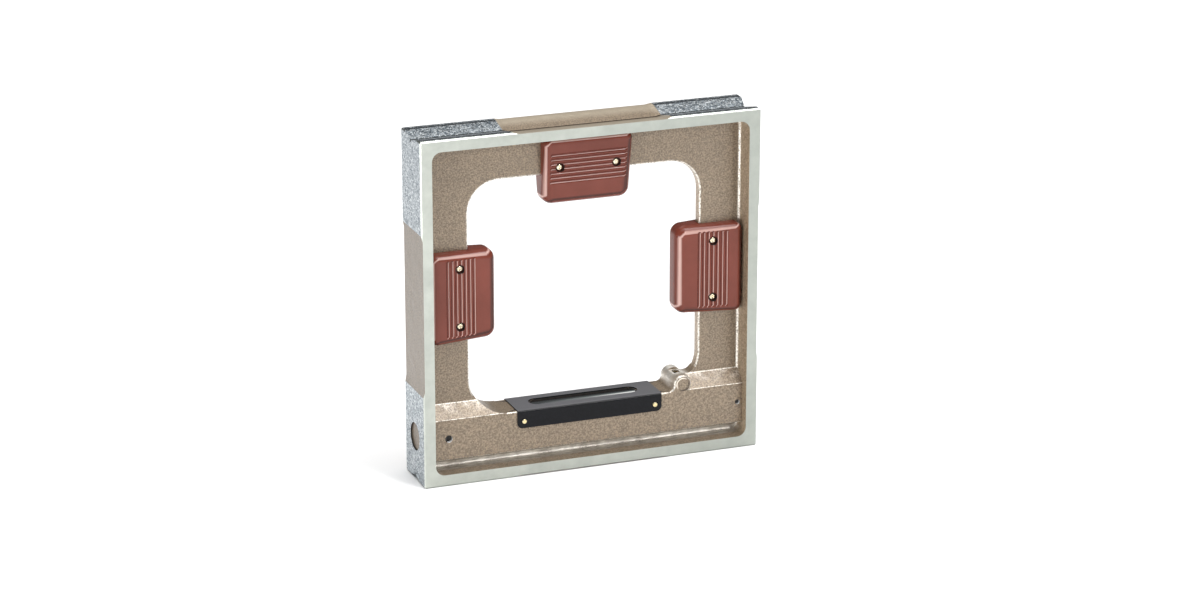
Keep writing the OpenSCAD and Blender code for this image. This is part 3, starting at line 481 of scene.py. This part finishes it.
for rim_name in ("left", "right", "top"):
    for side in ("front", "rear"):
        half = smooth_copy(f"{rim_name}_{side}_half_grip", f"grip_{rim_name}_{side}", "grip_plastic",
                           phenolic, counterbore_shade)
        for face in half.data.polygons:
            x, z = abs(face.center.x), face.center.z
            reach = min(math.hypot(x - side_screw_x, z - side_screw_z[0]),
                        math.hypot(x - side_screw_x, z - side_screw_z[1]),
                        math.hypot(x - top_screw_x, z - top_screw_z))
            if reach < screw_r and abs(face.normal.y) < 0.3:
                face.material_index = 1

# Nickel plate, bright with a warm cast
nickel, tree = start_material("nickel_plated_screws")
place = add(tree, "TexCoord").outputs["Object"]
bloom = add(tree, "TexNoise", {"Vector": place, "Scale": 0.7 / MM, "Detail": 2})
tint = add(tree, "ValToRGB", {"Fac": bloom}, stops=((0.3, "c4b69b"), (0.7, "e6dcc6")))
plated = add(tree, "BsdfPrincipled", {"Base Color": tint, "Metallic": 1.0, "Roughness": 0.22})
add(tree, "OutputMaterial", {"Surface": plated})
smooth_copy("grip_screw_set", "grip_screws", "nickel_screws", nickel)

# ---- Studio ----
# A white floor and a pale room. Three soft lights stand low at the left, high in front and
# overhead, under a wide bright ceiling.
white, tree = start_material("white_floor")
matt = add(tree, "BsdfPrincipled", {"Base Color": linear("f6f6f6"), "Roughness": 0.9})
add(tree, "OutputMaterial", {"Surface": matt})
bpy.ops.object.select_all(action="DESELECT")
bpy.ops.mesh.primitive_plane_add(size=14, location=(0, 0, 0))
floor = bpy.context.object
floor.name = "floor"
floor.data.materials.append(white)

world = bpy.data.worlds.new("studio")
world.use_nodes = True
world.node_tree.nodes["Background"].inputs["Color"].default_value = (1, 1, 1, 1)
world.node_tree.nodes["Background"].inputs["Strength"].default_value = 0.16
bpy.context.scene.world = world

target = Vector((0.0074, 0.0012, 0.1438))
lights = (("left_light", (-1.15, -0.6, 0.1), 0.3, 0.12, 4.5),
          ("front_light", (0.78, -1.8, 1.15), 0.3, 0.2, 13),
          ("overhead_light", (0.6, -0.65, 2.1), 1.2, 1.2, 24))
for name, stand, wide, high, watts in lights:
    lamp = bpy.data.lights.new(name, "AREA")
    lamp.shape = "RECTANGLE"
    lamp.size = wide
    lamp.size_y = high
    lamp.energy = watts
    light = bpy.data.objects.new(name, lamp)
    light.location = stand
    light.rotation_euler = (target - light.location).to_track_quat("-Z", "Y").to_euler()
    bpy.context.scene.collection.objects.link(light)
lamp = bpy.data.lights.new("ceiling_light", "SUN")
lamp.energy = 3.0
lamp.angle = math.radians(70)
light = bpy.data.objects.new("ceiling_light", lamp)
bpy.context.scene.collection.objects.link(light)

azimuth = math.radians(20.734)
elevation = math.radians(18.087)
distance = 3.118
lens = bpy.data.cameras.new("camera")
lens.lens = 112.85
camera = bpy.data.objects.new("camera", lens)
camera.location = target + distance * Vector((-math.sin(azimuth) * math.cos(elevation),
                                              -math.cos(azimuth) * math.cos(elevation),
                                              math.sin(elevation)))
camera.rotation_euler = (target - camera.location).to_track_quat("-Z", "Y").to_euler()
bpy.context.scene.collection.objects.link(camera)
bpy.context.scene.camera = camera
bpy.context.scene.view_settings.view_transform = "Standard"
